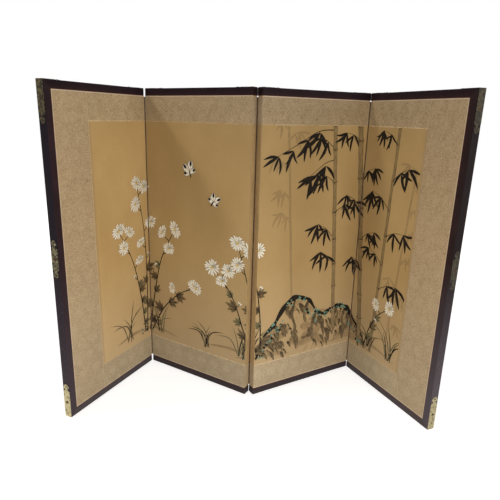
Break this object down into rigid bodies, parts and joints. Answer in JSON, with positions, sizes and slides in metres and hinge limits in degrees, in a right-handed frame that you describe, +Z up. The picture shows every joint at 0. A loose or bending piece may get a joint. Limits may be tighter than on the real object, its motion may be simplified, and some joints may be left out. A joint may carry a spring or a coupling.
{
  "type": "folding room divider screen",
  "caption": "Standing folding screen of paper-hinged panels with lacquered rails, brocade border, silk picture ground and nailed brass plates.",
  "frame": {"origin": "middle of the screen's footprint as it stands half folded, at the floor under the foot plates", "axes": "+X along the row of panels to the right, +Y away from the painted faces, +Z up"},
  "size_m": [1.038, 0.3626, 0.9029],
  "materials": {
    "lacquered_wood": "gloss lacquer",
    "aged_brass": "aged satin",
    "cedar": "bare",
    "lining_paper": "matte paper",
    "back_paper": "matte paper",
    "brocade": "woven silk",
    "picture_silk": "woven silk",
    "gilt_paper": "satin paper",
    "hinge_paper": "matte paper"
  },
  "bodies": {
    "panel_1": {"panel_1_core_frame": "cedar", "panel_1_core_lattice": "cedar", "panel_1_front_lining": "lining_paper", "panel_1_back_cover": "back_paper", "panel_1_brocade_border": "brocade", "panel_1_picture_fillet": "gilt_paper", "panel_1_picture_silk": "picture_silk", "panel_1_top_rail": "lacquered_wood", "panel_1_bottom_rail": "lacquered_wood", "panel_1_rail_end_plates": "aged_brass", "panel_1_nails": "aged_brass", "left_stile": "lacquered_wood", "left_side_plate": "aged_brass", "top_left_corner_plate": "aged_brass", "bottom_left_corner_plate": "aged_brass", "fold_1_straps_left": "hinge_paper"},
    "panel_2": {"panel_2_core_frame": "cedar", "panel_2_core_lattice": "cedar", "panel_2_front_lining": "lining_paper", "panel_2_back_cover": "back_paper", "panel_2_brocade_border": "brocade", "panel_2_picture_fillet": "gilt_paper", "panel_2_picture_silk": "picture_silk", "panel_2_top_rail": "lacquered_wood", "panel_2_bottom_rail": "lacquered_wood", "panel_2_rail_end_plates": "aged_brass", "panel_2_nails": "aged_brass", "fold_1_straps_right": "hinge_paper", "fold_2_straps_left": "hinge_paper"},
    "panel_3": {"panel_3_core_frame": "cedar", "panel_3_core_lattice": "cedar", "panel_3_front_lining": "lining_paper", "panel_3_back_cover": "back_paper", "panel_3_brocade_border": "brocade", "panel_3_picture_fillet": "gilt_paper", "panel_3_picture_silk": "picture_silk", "panel_3_top_rail": "lacquered_wood", "panel_3_bottom_rail": "lacquered_wood", "panel_3_rail_end_plates": "aged_brass", "panel_3_nails": "aged_brass", "fold_2_straps_right": "hinge_paper", "fold_3_straps_left": "hinge_paper"},
    "panel_4": {"panel_4_core_frame": "cedar", "panel_4_core_lattice": "cedar", "panel_4_front_lining": "lining_paper", "panel_4_back_cover": "back_paper", "panel_4_brocade_border": "brocade", "panel_4_picture_fillet": "gilt_paper", "panel_4_picture_silk": "picture_silk", "panel_4_top_rail": "lacquered_wood", "panel_4_bottom_rail": "lacquered_wood", "panel_4_rail_end_plates": "aged_brass", "panel_4_nails": "aged_brass", "right_stile": "lacquered_wood", "right_side_plate": "aged_brass", "top_right_corner_plate": "aged_brass", "bottom_right_corner_plate": "aged_brass", "fold_3_straps_right": "hinge_paper"}
  },
  "joints": [
    {"name": "fold_1", "type": "hinge", "parent": "panel_2", "child": "panel_1", "pos_m": [-0.33744, 0.15993, 0], "axis": [0, 0, 1], "range_deg": [-96.2, 83.8]},
    {"name": "fold_2", "type": "hinge", "parent": "panel_2", "child": "panel_3", "pos_m": [0, -0.01451, 0], "axis": [0, 0, 1], "range_deg": [-62.4, 117.6]},
    {"name": "fold_3", "type": "hinge", "parent": "panel_3", "child": "panel_4", "pos_m": [0.33744, 0.15993, 0], "axis": [0, 0, -1], "range_deg": [-96.2, 83.8]}
  ]
}
